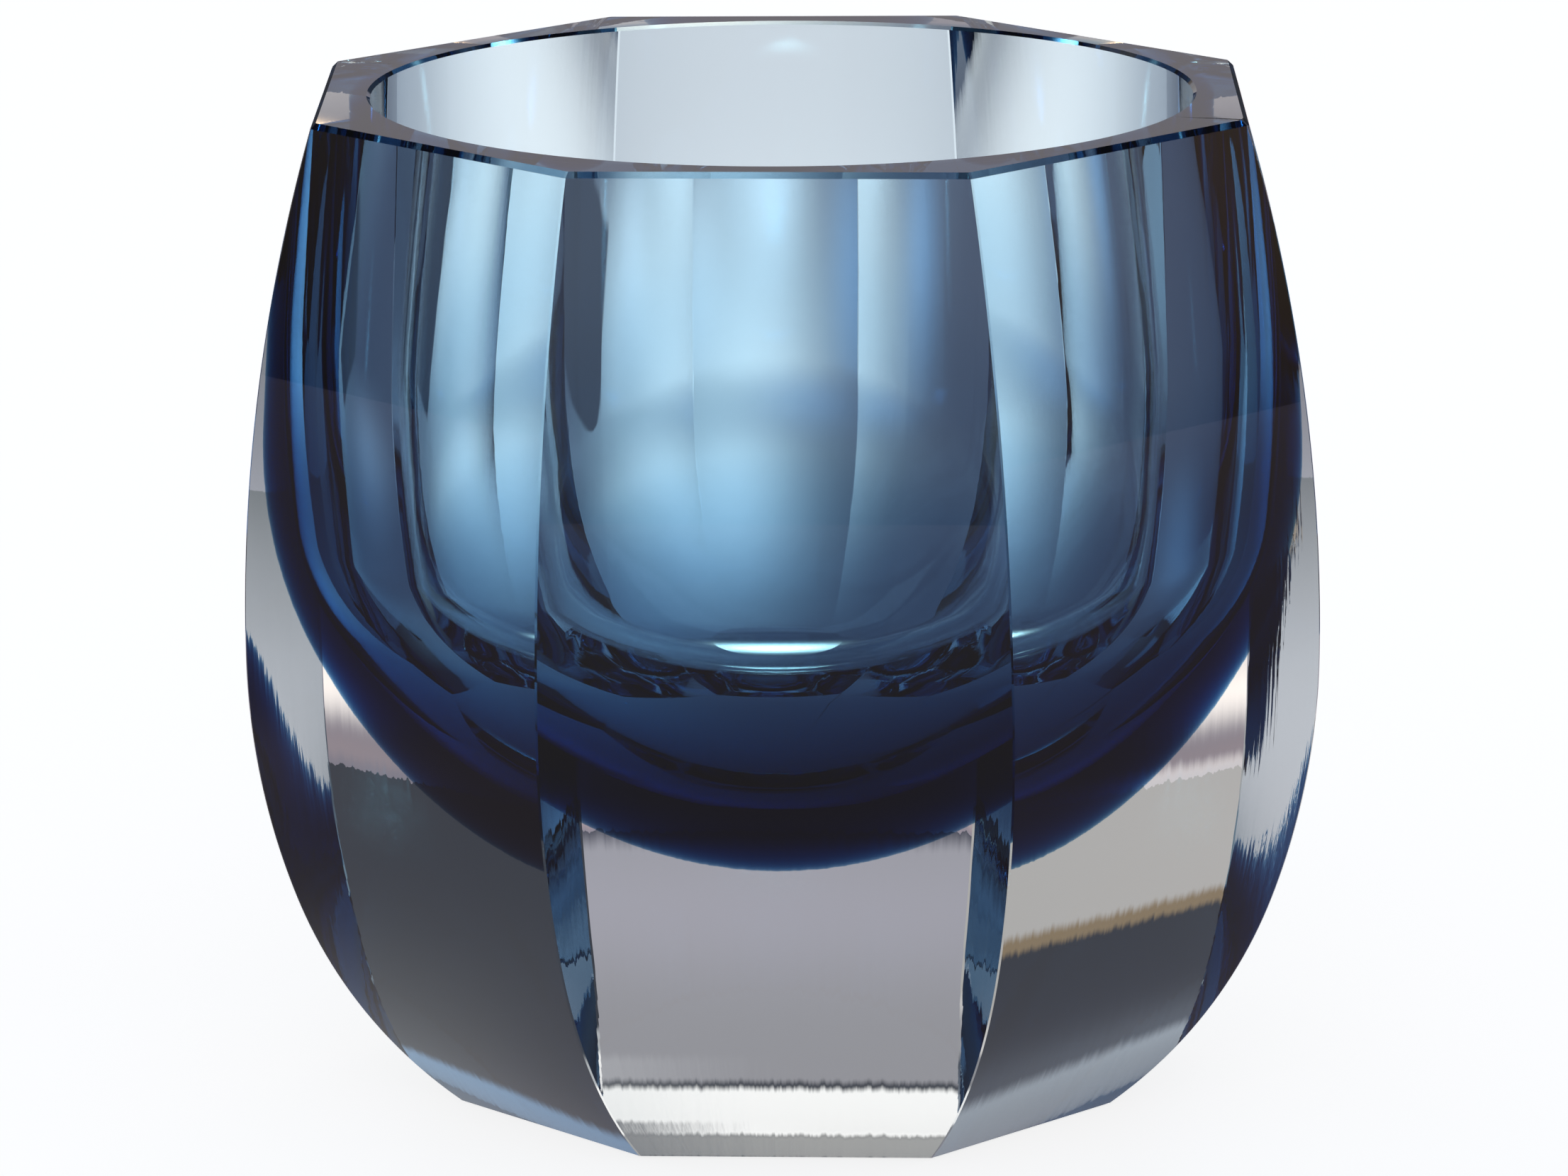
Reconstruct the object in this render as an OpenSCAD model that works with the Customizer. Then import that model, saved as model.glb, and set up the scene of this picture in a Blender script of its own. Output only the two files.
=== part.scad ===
// Free-standing vase of cased glass: an eight-sided clear casing, barrel-shaped from
// foot to rim, fused over a round blue inner layer that lines a deep round cavity.
// Origin at the centre of the resting face, +Z up, millimetres. One flat faces -Y.

/* [Casing] */
// Height from the resting face to the rim
height = 146; // [144:0.5:158]
// Across flats at the rim
rim_flats = 131; // [129:0.5:136]
// Across flats at the widest level
belly_flats = 154; // [149:0.5:159]
// Level of the widest point above the foot
belly_level = 66; // [62:0.5:72]
// Across flats at the resting face
foot_flats = 96.5; // [88:0.5:104]
// Polished bevel along the rim on the front, back and side flats
rim_bevel = 0.8; // [0.4:0.1:1]
// Polished bevel along the rim on the four diagonal flats
diagonal_bevel = 1.2; // [1.1:0.1:1.6]

/* [Cavity] */
// Diameter of the bore at the rim
bore_d = 118.6; // [114:0.2:119.6]
// Polished bevel on the inner edge of the rim
bore_bevel = 0.5; // [0.3:0.1:0.8]
// Level down to which the cavity wall is straight
wall_level = 112; // [111:0.5:116]
// Radius of the gentle curve below the straight wall
wall_curve = 157; // [150:1:165]
// Slope of the wall where the gentle curve ends, degrees
wall_turn = 11; // [10:0.2:11.4]
// Radius of the curve between the wall and the bottom
bowl_curve = 24; // [23:0.2:25]
// Slope of the wall where that curve ends, degrees
bowl_turn = 45; // [44:0.2:46]
// Diameter of the flat on the cavity floor
floor_d = 32; // [26:1:36]

/* [Blue layer] */
// Wall of the blue layer at the rim
blue_wall = 3; // [2.5:0.1:4]
// Level down to which the outside of the layer is straight
blue_level = 93; // [92:0.5:96]
// Radius of the curve between the wall and the bottom of the layer
blue_curve = 45; // [43:0.5:47]
// Level of the lowest point of the layer
blue_foot_level = 42; // [38:0.5:43]

/* [Hidden] */
$fn = 120;
facet_fn = 360;
clear_color = [0.86, 0.89, 0.92, 0.35];
blue_color = [0.05, 0.16, 0.36, 0.75];
facet_step = 45;
over = 20;
side = 2 * belly_flats;
top = height + over;

// Levels where one curve ends and the next begins, and radii that must agree, are kept to a thousandth of a
// millimetre, so that neighbouring bands meet exactly
function to_micron(v) = round(1000 * v) / 1000;

// Facet curves: one arc from the belly to the rim and one from the belly to the foot, both upright at the belly
rim_half = rim_flats / 2;
belly_half = belly_flats / 2;
foot_half = foot_flats / 2;
function arc_radius(run, drop) = to_micron((run * run + drop * drop) / (2 * drop));
upper_curve = arc_radius(height - belly_level, belly_half - rim_half);
lower_curve = arc_radius(belly_level, belly_half - foot_half);

// Cavity: three tangent arcs below the straight wall, the last one centred on the axis
bore_r = bore_d / 2;
wall_x = bore_r - wall_curve;
wall_end = to_micron(wall_level - wall_curve * sin(wall_turn));
bowl_x = wall_x + (wall_curve - bowl_curve) * cos(wall_turn);
bowl_z = wall_level - (wall_curve - bowl_curve) * sin(wall_turn);
bowl_end = to_micron(bowl_z - bowl_curve * sin(bowl_turn));
bottom_curve = bowl_curve + bowl_x / cos(bowl_turn);
bottom_z = bowl_end + bottom_curve * sin(bowl_turn);
floor_r = floor_d / 2;
floor_level = to_micron(bottom_z - sqrt(bottom_curve * bottom_curve - floor_r * floor_r));

// Outside of the blue layer: two tangent arcs, the lower one centred on the axis
blue_r = bore_r + blue_wall;
blue_x = blue_r - blue_curve;
blue_drop = blue_level - blue_foot_level;
blue_slack = blue_drop - blue_curve;
blue_bottom_curve = (blue_drop * blue_drop + blue_x * blue_x - blue_curve * blue_curve) / (2 * blue_slack);
blue_bottom_z = blue_foot_level + blue_bottom_curve;
blue_turn = atan2(blue_bottom_z - blue_level, blue_x);
blue_end = to_micron(blue_level - blue_curve * sin(blue_turn));

// Width between two mirrored arcs of radius r that are upright at the belly, from level z0 to z1
module facet_band(r, z0, z1) {
    x = belly_half - r;
    intersection() {
        translate([x, belly_level]) circle(r = r, $fn = facet_fn);
        translate([-x, belly_level]) circle(r = r, $fn = facet_fn);
        translate([-side / 2, z0]) square([side, z1 - z0]);
    }
}

module facet_profile() {
    facet_band(upper_curve, belly_level, height);
    facet_band(lower_curve, 0, belly_level);
}

// Everything above the sloping line of the rim bevel on one side
module rim_bevel_cut(bevel) {
    x = rim_half - bevel;
    polygon([[x - over, top], [x + over + bevel, top], [x + over + bevel, height - over - bevel]]);
}

module facet_slab(bevel) {
    rotate([90, 0, 0]) linear_extrude(height = side, center = true) difference() {
        facet_profile();
        rim_bevel_cut(bevel);
        mirror([1, 0]) rim_bevel_cut(bevel);
    }
}

module crossed_slabs(bevel) {
    intersection() {
        facet_slab(bevel);
        rotate([0, 0, 2 * facet_step]) facet_slab(bevel);
    }
}

module faceted_body() {
    intersection() {
        crossed_slabs(rim_bevel);
        rotate([0, 0, facet_step]) crossed_slabs(diagonal_bevel);
    }
}

// Half section of a bowl wall of radius r centred at (x, z), filled to the axis, from level z0 to z1
module bowl_band(r, x, z, z0, z1) {
    intersection() {
        union() {
            translate([x, z]) circle(r = r);
            if (x > 0) translate([0, z0]) square([x, z1 - z0]);
        }
        translate([0, z0]) square([side, z1 - z0]);
    }
}

module straight_band(r, z0, z1) {
    translate([0, z0]) square([r, z1 - z0]);
}

module bore_bevel_band() {
    z = height - bore_bevel;
    polygon([[0, z], [bore_r, z], [bore_r + top - z, top], [0, top]]);
}

module cavity() {
    rotate_extrude() {
        bore_bevel_band();
        straight_band(bore_r, wall_level, top);
        bowl_band(wall_curve, wall_x, wall_level, wall_end, wall_level);
        bowl_band(bowl_curve, bowl_x, bowl_z, bowl_end, wall_end);
        bowl_band(bottom_curve, 0, bottom_z, floor_level, bowl_end);
    }
}

module blue_outline(z_top) {
    rotate_extrude() {
        straight_band(blue_r, blue_level, z_top);
        bowl_band(blue_curve, blue_x, blue_level, blue_end, blue_level);
        bowl_band(blue_bottom_curve, 0, blue_bottom_z, blue_foot_level, blue_end);
    }
}

module clear_casing() {
    color(clear_color) difference() {
        faceted_body();
        blue_outline(top);
    }
}

module blue_lining() {
    color(blue_color) difference() {
        blue_outline(height);
        cavity();
    }
}

clear_casing();
blue_lining();
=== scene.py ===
"""Faceted crystal vase with a dark blue inner layer, on a pale table in a soft studio."""

import math

import bpy
from mathutils import Matrix, Vector


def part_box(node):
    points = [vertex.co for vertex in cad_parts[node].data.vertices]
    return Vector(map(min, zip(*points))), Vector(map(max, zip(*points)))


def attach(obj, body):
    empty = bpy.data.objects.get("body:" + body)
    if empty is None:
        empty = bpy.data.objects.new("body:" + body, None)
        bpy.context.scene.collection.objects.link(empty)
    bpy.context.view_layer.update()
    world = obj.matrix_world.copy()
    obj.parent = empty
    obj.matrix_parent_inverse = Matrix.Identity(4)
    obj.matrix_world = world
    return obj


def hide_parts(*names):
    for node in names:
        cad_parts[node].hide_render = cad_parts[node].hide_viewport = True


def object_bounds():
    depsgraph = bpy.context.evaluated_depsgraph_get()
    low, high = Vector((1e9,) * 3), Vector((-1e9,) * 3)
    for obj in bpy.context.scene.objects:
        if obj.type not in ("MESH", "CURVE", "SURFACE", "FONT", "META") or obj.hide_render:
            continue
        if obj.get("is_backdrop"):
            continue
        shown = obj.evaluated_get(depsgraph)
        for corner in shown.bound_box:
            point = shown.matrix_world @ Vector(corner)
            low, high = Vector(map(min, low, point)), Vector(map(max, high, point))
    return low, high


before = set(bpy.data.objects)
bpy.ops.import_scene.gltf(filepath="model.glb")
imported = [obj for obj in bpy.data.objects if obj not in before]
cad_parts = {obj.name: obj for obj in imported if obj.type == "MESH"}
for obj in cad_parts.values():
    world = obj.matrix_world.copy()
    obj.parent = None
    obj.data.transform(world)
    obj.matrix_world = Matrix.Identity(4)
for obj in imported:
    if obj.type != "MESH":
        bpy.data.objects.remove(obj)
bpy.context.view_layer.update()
MM = 0.001

# ---------------------------------------------------------------- sizes, in millimetres, from the CAD frame
casing_low, casing_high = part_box("clear_casing")
lining_low, lining_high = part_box("blue_lining")
HEIGHT = (casing_high.z - casing_low.z) / MM
LINING_R = (lining_high.x - lining_low.x) / 2 / MM
LINING_LOW = (lining_low.z - casing_low.z) / MM
LINING_WALL = 3.0
BORE_R = LINING_R - LINING_WALL
EDGE = 0.35  # width of the polished strip along each upright arris

# One entry per flat, starting at the front: direction, how far it is turned (degrees), its distance from the
# axis against the mean flat, and how far it leans outwards from foot to rim (mm). Hand-cut flats are never
# quite equal. These came from fitting the corners to the photograph with a scratch program, then rounding.
FLATS = [
    (-90, -2.25, 0.992, 0.0),
    (-45, -0.15, 1.0065, -1.5),
    (0, -0.45, 1.0065, 1.1),
    (45, -0.95, 0.9925, -1.0),
    (90, -0.65, 0.997, -0.4),
    (135, -0.9, 0.998, -0.2),
    (180, -0.55, 1.0075, 1.3),
    (225, -1.2, 0.9995, 0.6),
]
# The mean flat, rounded from the same fit: its distance from the axis at its widest level and at the rim,
# and the radii of the arc below the widest level and of the tighter arc below FOOT_Z.
BELLY, BELLY_Z, RIM = 76.1, 70.0, 65.0
LOWER_R, FOOT_Z, FOOT_R = 113.5, 33.3, 77.4
UPPER_R = ((HEIGHT - BELLY_Z) ** 2 + (BELLY - RIM) ** 2) / (2 * (BELLY - RIM))


def flat_distance(z):
    """Distance of the mean flat from the axis at a level."""
    if z >= BELLY_Z:
        return BELLY - UPPER_R + math.sqrt(UPPER_R**2 - (z - BELLY_Z) ** 2)
    if z >= FOOT_Z:
        return BELLY - LOWER_R + math.sqrt(LOWER_R**2 - (z - BELLY_Z) ** 2)
    s = (FOOT_Z - BELLY_Z) / LOWER_R
    x = BELLY - LOWER_R + (LOWER_R - FOOT_R) * math.sqrt(1 - s * s)
    return x + math.sqrt(FOOT_R**2 - (z - BELLY_Z - (LOWER_R - FOOT_R) * s) ** 2)


def corners(z, inset=0.0):
    """The sixteen corners of the body at a level: each arris is cut back to a narrow strip."""
    lines = []
    for at, turn, scale, lean in FLATS:
        t = math.radians(at + turn)
        distance = scale * flat_distance(z) + lean * (z / HEIGHT - 0.5) - inset
        lines.append((math.cos(t), math.sin(t), distance))
    cut = EDGE / 2 * math.tan(math.radians(22.5))
    points = []
    for i in range(8):
        p, q = lines[i], lines[(i + 1) % 8]
        det = p[0] * q[1] - p[1] * q[0]
        x = (p[2] * q[1] - q[2] * p[1]) / det
        y = (p[0] * q[2] - q[0] * p[2]) / det
        m = Vector((p[0] + q[0], p[1] + q[1])).normalized()
        d = m.x * x + m.y * y - cut
        for k in (p, q):
            det = k[0] * m.y - k[1] * m.x
            points.append(((k[2] * m.y - d * k[1]) / det, (k[0] * d - m.x * k[2]) / det))
    return points


def spokes(count=256):
    """Directions shared by every ring, so that flats and round walls join without gaps."""
    at_corner = [(math.atan2(y, x) % (2 * math.pi), i) for i, (x, y) in enumerate(corners(HEIGHT / 2))]
    even = [2 * math.pi * (k + 0.5) / count for k in range(count)]

    def clear_of_corners(a):
        return min(abs((a - c + math.pi) % (2 * math.pi) - math.pi) for c, i in at_corner) > 0.01

    far = [a for a in even if clear_of_corners(a)]
    return sorted([(a, -1) for a in far] + at_corner)


SPOKES = spokes()


def flat_ring(z, inset=0.0):
    """The body's outline at a level: a point on each spoke."""
    pts = corners(z, inset)
    out = []
    for a, corner in SPOKES:
        if corner >= 0:
            out.append((*pts[corner], z))
            continue
        c, s = math.cos(a), math.sin(a)
        best = None
        for i, p in enumerate(pts):
            q = pts[(i + 1) % len(pts)]
            dx, dy = q[0] - p[0], q[1] - p[1]
            det = s * dx - c * dy
            if abs(det) < 1e-12:
                continue
            r = (p[1] * dx - p[0] * dy) / det
            u = (c * p[1] - s * p[0]) / det
            if r > 0 and -1e-9 <= u <= 1 + 1e-9 and (best is None or r < best):
                best = r
        out.append((best * c, best * s, z))
    return out


def round_ring(r, z):
    return [(r * math.cos(a), r * math.sin(a), z) for a, corner in SPOKES]


def bowl(radius, top, level, arcs, floor_r, out=0.0, steps=30):
    """Points (r, z) down a round wall: straight to level, then tangent arcs, each (radius, slope it ends at),
    and a last arc centred on the axis, cut off at floor_r. out moves the wall outwards."""
    pts = [(radius + out, top + (level - top) * i / 12) for i in range(12)]
    last_r, last_t = arcs[0][0], 0.0
    x, z = radius - last_r, level
    for r, slope in arcs:
        x += (last_r - r) * math.cos(last_t)
        z -= (last_r - r) * math.sin(last_t)
        end = math.radians(slope)
        for i in range(steps):
            t = last_t + (end - last_t) * i / steps
            pts.append((x + (r + out) * math.cos(t), z - (r + out) * math.sin(t)))
        last_r, last_t = r, end
    r = last_r + x / math.cos(last_t)
    z += x * math.tan(last_t)
    start, end = math.pi / 2 - last_t, math.asin(floor_r / r)
    for i in range(steps + (1 if floor_r else 0)):
        t = start + (end - start) * i / steps
        pts.append(((r + out) * math.sin(t), z - (r + out) * math.cos(t)))
    return pts


def solid(name, rings):
    """A closed mesh through the rings, capped at both ends."""
    n = len(SPOKES)
    verts = [Vector(p) * MM for ring in rings for p in ring]
    faces = []
    for k in range(len(rings) - 1):
        for j in range(n):
            j2 = (j + 1) % n
            faces.append((k * n + j, k * n + j2, (k + 1) * n + j2, (k + 1) * n + j))
    for ring, flip in ((0, False), (len(rings) - 1, True)):
        centre = len(verts)
        verts.append(sum((Vector(p) for p in rings[ring]), Vector()) / n * MM)
        for j in range(n):
            a, b = ring * n + j, ring * n + (j + 1) % n
            faces.append((centre, a, b) if flip else (centre, b, a))
    mesh = bpy.data.meshes.new(name)
    mesh.from_pydata(verts, [], faces)
    mesh.validate()
    mesh.polygons.foreach_set("use_smooth", [True] * len(mesh.polygons))
    mesh.set_sharp_from_angle(angle=math.radians(9))
    obj = bpy.data.objects.new(name, mesh)
    bpy.context.scene.collection.objects.link(obj)
    return obj


# ---------------------------------------------------------------- the two pieces of glass
RIM_BEVEL, BORE_BEVEL = 0.8, 0.5
RIM_GAP = 0.05  # the lining ends this far below the rim's polished face
CAVITY = dict(radius=BORE_R, top=HEIGHT - BORE_BEVEL, level=112, arcs=[(157, 11), (24, 45)], floor_r=16)
LINING_ARC, LINING_LEVEL = 45.0, 93.0
drop, across = LINING_LEVEL - LINING_LOW, LINING_R - LINING_ARC
lining_bottom = (drop**2 + across**2 - LINING_ARC**2) / (2 * (drop - LINING_ARC))
lining_turn = math.degrees(math.atan2(LINING_LOW + lining_bottom - LINING_LEVEL, across))
LINING = dict(
    radius=LINING_R, top=HEIGHT - RIM_GAP, level=LINING_LEVEL, arcs=[(LINING_ARC, lining_turn)], floor_r=0
)

STEPS_UP = 96
bevel_start = HEIGHT - RIM_BEVEL
rings = [flat_ring(bevel_start * k / STEPS_UP) for k in range(STEPS_UP + 1)]
rings.append(flat_ring(HEIGHT, RIM_BEVEL * 0.7))
rings.append(round_ring(BORE_R + BORE_BEVEL, HEIGHT))
rings += [round_ring(r, z) for r, z in bowl(**CAVITY)]
casing = solid("clear_casing_glass", rings)

# The lining is fused into the casing: it lies inside the casing's glass, a hair behind the cavity wall.
HAIR = 0.03
outline = [round_ring(r, z) for r, z in reversed(bowl(**LINING))]
outline.append(round_ring(BORE_R + BORE_BEVEL + RIM_GAP, HEIGHT - RIM_GAP))
outline += [round_ring(r, z) for r, z in bowl(**CAVITY, out=HAIR)]
lining = solid("blue_lining_glass", outline)


# ---------------------------------------------------------------- node helpers
class Nodes:
    """Builds shader nodes with few words."""

    def __init__(self, tree, clear=False):
        self.tree = tree
        if clear:
            tree.nodes.clear()

    def new(self, kind, inputs=None, **settings):
        node = self.tree.nodes.new("ShaderNode" + kind)
        for k, v in settings.items():
            setattr(node, k, v)
        for k, v in (inputs or {}).items():
            if isinstance(v, bpy.types.NodeSocket):
                self.tree.links.new(v, node.inputs[k])
            else:
                node.inputs[k].default_value = v
        return node

    def math(self, op, a, b=0.0):
        return self.new("Math", {0: a, 1: b}, operation=op).outputs[0]

    def vector(self, op, a, b=(0, 0, 0), out=0):
        return self.new("VectorMath", {0: a, 1: b}, operation=op).outputs[out]

    def ramp(self, value, low, high):
        """0 below low, 1 above high, smooth between."""
        return self.new(
            "MapRange", {"Value": value, "From Min": low, "From Max": high}, interpolation_type="SMOOTHSTEP"
        ).outputs[0]

    def mix(self, factor, a, b):
        node = self.new("Mix", {"Factor": factor}, data_type="RGBA")
        for name, v in (("A", a), ("B", b)):
            socket = [s for s in node.inputs if s.name == name and s.type == "RGBA"][0]
            if isinstance(v, bpy.types.NodeSocket):
                self.tree.links.new(v, socket)
            else:
                socket.default_value = (*v, 1)
        return [s for s in node.outputs if s.type == "RGBA"][0]

    def noise(self, place, size, detail):
        """Noise from 0 to 1, with size = how many waves per unit along x, y and z."""
        at = self.vector("MULTIPLY", place, size)
        return self.new("TexNoise", {"Vector": at, "Scale": 1.0, "Detail": detail}).outputs[0]

    def add_light(self, light, colour, share):
        """light + share * colour."""
        scaled = self.new("VectorMath", {0: colour, 3: share}, operation="SCALE").outputs[0]
        return self.vector("ADD", light, scaled)


def material(name):
    m = bpy.data.materials.new(name)
    m.use_nodes = True
    return m


# ---------------------------------------------------------------- glass
def glass(name, ior, absorbed):
    """Clear glass that takes out absorbed = (r, g, b) per metre."""
    m = material(name)
    n = Nodes(m.node_tree)
    bsdf = m.node_tree.nodes["Principled BSDF"]
    bsdf.inputs["Base Color"].default_value = (1, 1, 1, 1)
    bsdf.inputs["Transmission Weight"].default_value = 1.0
    bsdf.inputs["Roughness"].default_value = 0.0
    bsdf.inputs["IOR"].default_value = ior
    most = max(absorbed)
    volume = n.new("VolumeAbsorption", {"Color": (*[1 - a / most for a in absorbed], 1), "Density": most})
    m.node_tree.links.new(volume.outputs[0], m.node_tree.nodes["Material Output"].inputs["Volume"])
    return m, n, bsdf


crystal, n, bsdf = glass("cut clear crystal", 1.53, (1.0, 0.6, 0.5))
# Cutting marks: fine upright streaks left on the flats by the wheel, a micrometre or two deep. The rim, the
# cavity and the resting face are polished smooth.
MARK_DEPTH = 0.0000022
MARK_TIP = 0.026
place = n.new("TexCoord").outputs["Object"]
x, y, z = n.new("SeparateXYZ", {0: place}).outputs
radius = n.math("SQRT", n.math("ADD", n.math("MULTIPLY", x, x), n.math("MULTIPLY", y, y)))
toward_x, toward_y = n.math("DIVIDE", x, radius), n.math("DIVIDE", y, radius)
around = n.new("CombineXYZ", {0: toward_x, 1: toward_y, 2: z}).outputs[0]
fine = n.noise(around, (75, 75, 22), 2.0)
broad = n.noise(around, (18, 18, 9), 1.0)
outside = n.math("MAXIMUM", n.ramp(radius, 0.0632, 0.0636), n.ramp(n.math("MULTIPLY", z, -1), -0.040, -0.039))
outside = n.math("MULTIPLY", outside, n.ramp(z, 0.0004, 0.0008))
streaks = n.math("ADD", fine, n.math("MULTIPLY", broad, 1.6))
# Low down the marks are coarser and also tip the surface up and down by less than a degree.
coarse = n.noise(around, (110, 110, 4), 1.0)
low = n.math("MULTIPLY", n.ramp(z, 0.012, 0.020), n.math("SUBTRACT", 1.0, n.ramp(z, 0.040, 0.056)))
low = n.math("MULTIPLY", outside, low)
tip = n.math("MULTIPLY", n.math("MULTIPLY", n.math("SUBTRACT", coarse, 0.5), MARK_TIP), low)
tipped = n.vector("ADD", n.new("NewGeometry").outputs["Normal"], n.new("CombineXYZ", {2: tip}).outputs[0])
height = n.math("MULTIPLY", streaks, outside)
marks = {"Height": height, "Strength": 1.0, "Distance": MARK_DEPTH, "Normal": n.vector("NORMALIZE", tipped)}
bump = n.new("Bump", marks)
n.tree.links.new(bump.outputs[0], bsdf.inputs["Normal"])
casing.data.materials.append(crystal)

# The lining is fused to the crystal, so nothing bends or shines at its surface: it only colours the light.
blue, n, bsdf = glass("dark blue glass", 1.0, (220, 137, 80))
lining.data.materials.append(blue)

for piece, node, slot in ((casing, "clear_casing", "clear_crystal"), (lining, "blue_lining", "blue_glass")):
    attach(piece, "root")
    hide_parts(node)


# ---------------------------------------------------------------- studio
def plane(name, low, high, z):
    mesh = bpy.data.meshes.new(name)
    corner = [(low[0], low[1], z), (high[0], low[1], z), (high[0], high[1], z), (low[0], high[1], z)]
    mesh.from_pydata(corner, [], [(0, 1, 2, 3)])
    obj = bpy.data.objects.new(name, mesh)
    bpy.context.scene.collection.objects.link(obj)
    obj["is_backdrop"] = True
    return obj


# Pale floor: mostly self-lit like a light table, with a little soft shadow. The glass doesn't see it.
floor = plane("floor", (-8, -8), (8, 8), -0.0006)
floor.visible_transmission = False
floor.visible_glossy = False
m = material("pale floor")
n = Nodes(m.node_tree, clear=True)
add = n.new("AddShader")
n.tree.links.new(n.new("Emission", {"Color": (1, 1, 1, 1), "Strength": 0.85}).outputs[0], add.inputs[0])
n.tree.links.new(n.new("BsdfDiffuse", {"Color": (0.8, 0.8, 0.8, 1)}).outputs[0], add.inputs[1])
n.tree.links.new(add.outputs[0], n.new("OutputMaterial").inputs[0])
floor.data.materials.append(m)

# What the glass sees instead of the pale floor: a hidden light plane with soft pools, each fading as
# exp(-(distance / reach)^2). Each entry: centre x, y from the vase's axis and reach x, y in millimetres, then
# the light's colour. The list started as a scratch program's fit to the photograph and was then merged,
# rounded and adjusted by hand. The bright narrow one lies under the vase and makes the crescent in the cavity.
POOLS = [
    (-60, -10, 40, 35, 0.3, 0.3, 0.25),
    (-60, 50, 40, 45, 0.25, 0.3, 0.3),
    (-195, 70, 45, 60, 0.6, 0.5, 0.45),
    (150, 20, 40, 40, 0.4, 0.4, 0.4),
    (0, 27, 15, 4, 60.0, 38.0, 20.0),
    (-70, 90, 30, 35, 0.6, 0.45, 0.3),
    (-25, 117, 42, 42, 2.0, 1.6, 1.2),
    (-60, 180, 90, 90, 1.2, 1.15, 0.95),
    (30, 192, 50, 28, 0.1, 0.2, 0.3),
    (-125, 220, 28, 30, 0.8, 0.65, 0.5),
    (-15, 240, 85, 34, 2.0, 1.55, 1.15),
    (-95, 250, 30, 28, 0.7, 0.6, 0.5),
    (100, 245, 32, 30, 0.2, 0.4, 0.55),
    (0, 282, 45, 22, 1.4, 1.3, 1.1),
    (-60, 290, 30, 22, 0.4, 0.4, 0.35),
    (-100, 310, 25, 25, 0.7, 0.6, 0.5),
    (105, 305, 25, 25, 0.6, 0.5, 0.4),
    (0, 385, 150, 40, 0.3, 0.25, 0.2),
    (0, 420, 220, 90, 1.1, 0.95, 0.8),
    (0, 420, 400, 120, 0.2, 0.2, 0.2),
    (0, 800, 300, 220, 0.25, 0.15, 0.1),
]
TABLE = (0.2, 0.17, 0.2)
table = plane("table_light", (-8, -8), (8, 1.1), -0.0003)
table.visible_camera = False
table.visible_diffuse = False
table.visible_shadow = False
m = material("table light")
n = Nodes(m.node_tree, clear=True)
point = n.vector("MULTIPLY", n.new("NewGeometry").outputs["Position"], (1, 1, 0))
light = TABLE
for cx, cy, rx, ry, *colour in POOLS:
    off = n.vector("SUBTRACT", point, (cx * MM, cy * MM, 0))
    off = n.vector("DIVIDE", off, (rx * MM, ry * MM, 1))
    fall = n.math("EXPONENT", n.math("MULTIPLY", n.vector("DOT_PRODUCT", off, off, out=1), -1.0))
    light = n.add_light(light, colour, fall)
# A patch of painted shade at the left, behind the vase, placed from measurements of the photograph.
PAINTED_SHADE = (0.13, 0.12, 0.13)
sideways, deep, _ = n.new("SeparateXYZ", {0: point}).outputs
left = n.math("MULTIPLY", sideways, -1.0)
painted_shade_mask = n.math("MULTIPLY", n.ramp(left, 0.137, 0.141), n.ramp(deep, 0.155, 0.163))
painted_shade_mask = n.math("MULTIPLY", painted_shade_mask, n.math("SUBTRACT", 1.0, n.ramp(deep, 0.241, 0.247)))
painted_shade_mask = n.math("MULTIPLY", painted_shade_mask, n.math("SUBTRACT", 1.0, n.ramp(left, 0.30, 0.34)))
light = n.mix(painted_shade_mask, light, PAINTED_SHADE)
add = n.new("AddShader")
n.tree.links.new(n.new("BsdfTransparent").outputs[0], add.inputs[0])
n.tree.links.new(n.new("Emission", {"Color": light, "Strength": 1.0}).outputs[0], add.inputs[1])
n.tree.links.new(add.outputs[0], n.new("OutputMaterial").inputs[0])
table.data.materials.append(m)

# The studio round it, painted on the world. Azimuth 0 is straight behind the vase and grows to the right.
# Cards: azimuth from and to, elevation from and to, softness of their edges, all in degrees, then the colour.
# Their places and the glows' were chosen from measurements of the photograph. Their colours started as a
# scratch program's fit to it and were then rounded and adjusted. The first two overlap to draw the amber line
# in the lower right flat, in place of dispersion.
CARDS = [
    (-50, -13, -3, 7.8, 0.6, 0.24, 0.28, 0.34),
    (-50, -13, -3, 9.3, 0.5, 0.24, 0.16, 0.07),
    (-66, -50, -3, 9, 1.5, 0.5, 0.46, 0.42),
    (-13, -6, -1.5, 20, 0.8, 0.46, 0.42, 0.38),
    (-6, 11, -1.5, 24, 0.8, 0.31, 0.29, 0.3),
    (-18, -12, 15, 25, 1.5, 0.34, 0.32, 0.32),
    (-6, 0, 20, 25, 1.0, 0.12, 0.12, 0.12),
    (12, 20, 21, 25.3, 1.0, 0.5, 0.5, 0.5),
    (-15, 0, 25.3, 33, 0.8, 1.0, 0.97, 0.94),
    (0, 22, 25.3, 36.3, 0.8, 1.14, 1.09, 1.05),
    (-15, 0, 33, 46, 1.5, 0.2, 0.2, 0.2),
    (0, 22, 36.3, 46, 1.5, 0.42, 0.4, 0.37),
    (-73, -50, 9, 38, 1.5, 0.3, 0.3, 0.32),
    (-52, -20, 30, 57, 2, 0.3, 0.33, 0.36),
    (22, 54, 38, 57, 2, 0.18, 0.32, 0.5),
]
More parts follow.
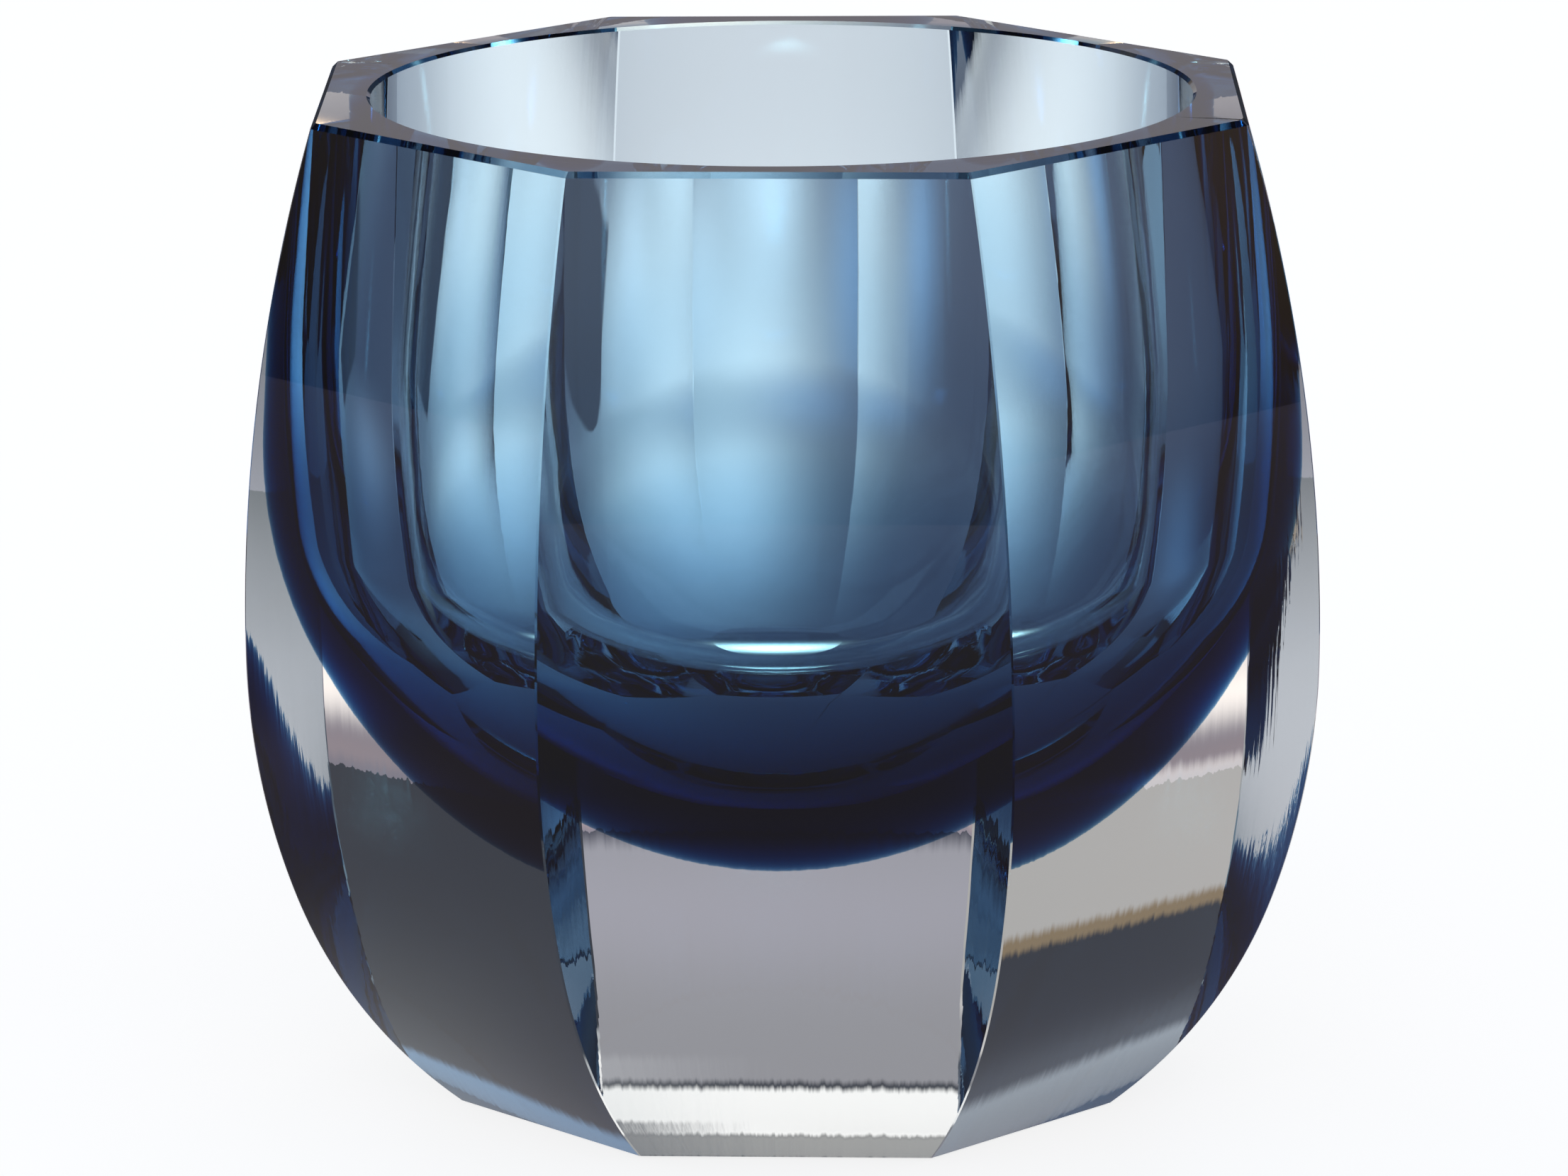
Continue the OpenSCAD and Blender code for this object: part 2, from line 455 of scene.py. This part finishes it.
# Soft glows: azimuth, elevation and reach in degrees, then the colour.
GLOWS = [
    (0, 3, 7, 0.08, 0.07, 0.1),
    (-24, 30, 6, 0.2, 0.23, 0.27),
    (92, 15, 16, 0.5, 0.35, 0.25),
    (-92, 15, 16, 0.25, 0.2, 0.18),
    (180, 20, 20, 0.64, 0.6, 0.62),
    (180, 45, 18, 0.25, 0.2, 0.2),
    (-135, 15, 20, 0.1, 0.15, 0.2),
    (135, 15, 20, 0.08, 0.15, 0.22),
    (-135, 50, 22, 0.08, 0.15, 0.2),
    (135, 50, 22, 0.1, 0.17, 0.22),
    (-150, -15, 20, 0.15, 0.2, 0.15),
]
SURROUND = (0.04, 0.045, 0.055)
world = bpy.data.worlds.new("studio")
bpy.context.scene.world = world
world.use_nodes = True
n = Nodes(world.node_tree, clear=True)
look = n.vector("NORMALIZE", n.new("TexCoord").outputs["Generated"])
x, y, z = n.new("SeparateXYZ", {0: look}).outputs
azimuth = n.math("DEGREES", n.math("ARCTAN2", x, y))
elevation = n.math("DEGREES", n.math("ARCSINE", z))
light = SURROUND


def between(value, low, high, soft):
    """1 between low and high, 0 outside, with soft edges."""
    above = n.ramp(value, low - soft, low + soft)
    below = n.math("SUBTRACT", 1.0, n.ramp(value, high - soft, high + soft))
    return n.math("MULTIPLY", above, below)


for a0, a1, e0, e1, soft, *colour in CARDS:
    share = n.math("MULTIPLY", between(azimuth, a0, a1, soft), between(elevation, e0, e1, soft))
    light = n.add_light(light, colour, share)
for a, e, reach, *colour in GLOWS:
    a, e, reach = math.radians(a), math.radians(e), math.radians(reach)
    to = (math.sin(a) * math.cos(e), math.cos(a) * math.cos(e), math.sin(e))
    near = n.math("SUBTRACT", n.vector("DOT_PRODUCT", look, to, out=1), 1.0)
    share = n.math("EXPONENT", n.math("DIVIDE", near, 1 - math.cos(reach)))
    light = n.add_light(light, colour, share)
shown = n.mix(n.new("LightPath").outputs["Is Camera Ray"], light, (0.9, 0.9, 0.9))
background = n.new("Background", {"Color": shown, "Strength": 1.0})
n.tree.links.new(background.outputs[0], n.new("OutputWorld").inputs[0])

# ---------------------------------------------------------------- camera
# Fitted to the photograph. Turned down by the pitch and sideways by the roll, in degrees.
CAMERA_AT, PITCH, ROLL = (0, -1.1743, 0.3545), 13.519, 0.29
camera = bpy.data.cameras.new("camera")
camera.sensor_width = 36
camera.lens = 189.59
camera.clip_start = 0.01
view = bpy.data.objects.new("camera", camera)
bpy.context.scene.collection.objects.link(view)
pitch, roll = math.radians(PITCH), math.radians(ROLL)
ahead = Vector((0, math.cos(pitch), -math.sin(pitch)))
level, above = Vector((1, 0, 0)), Vector((0, math.sin(pitch), math.cos(pitch)))
right = level * math.cos(roll) - above * math.sin(roll)
up = level * math.sin(roll) + above * math.cos(roll)
view.matrix_world = Matrix.Translation(CAMERA_AT) @ Matrix((right, up, -ahead)).transposed().to_4x4()
bpy.context.scene.camera = view

scene = bpy.context.scene
scene.cycles.max_bounces = 32
scene.cycles.transmission_bounces = 32
scene.cycles.glossy_bounces = 16
scene.cycles.transparent_max_bounces = 32
scene.cycles.caustics_reflective = False
scene.cycles.caustics_refractive = False
scene.cycles.use_denoising = True
scene.view_settings.view_transform = "Standard"

bpy.context.view_layer.update()
low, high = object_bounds()
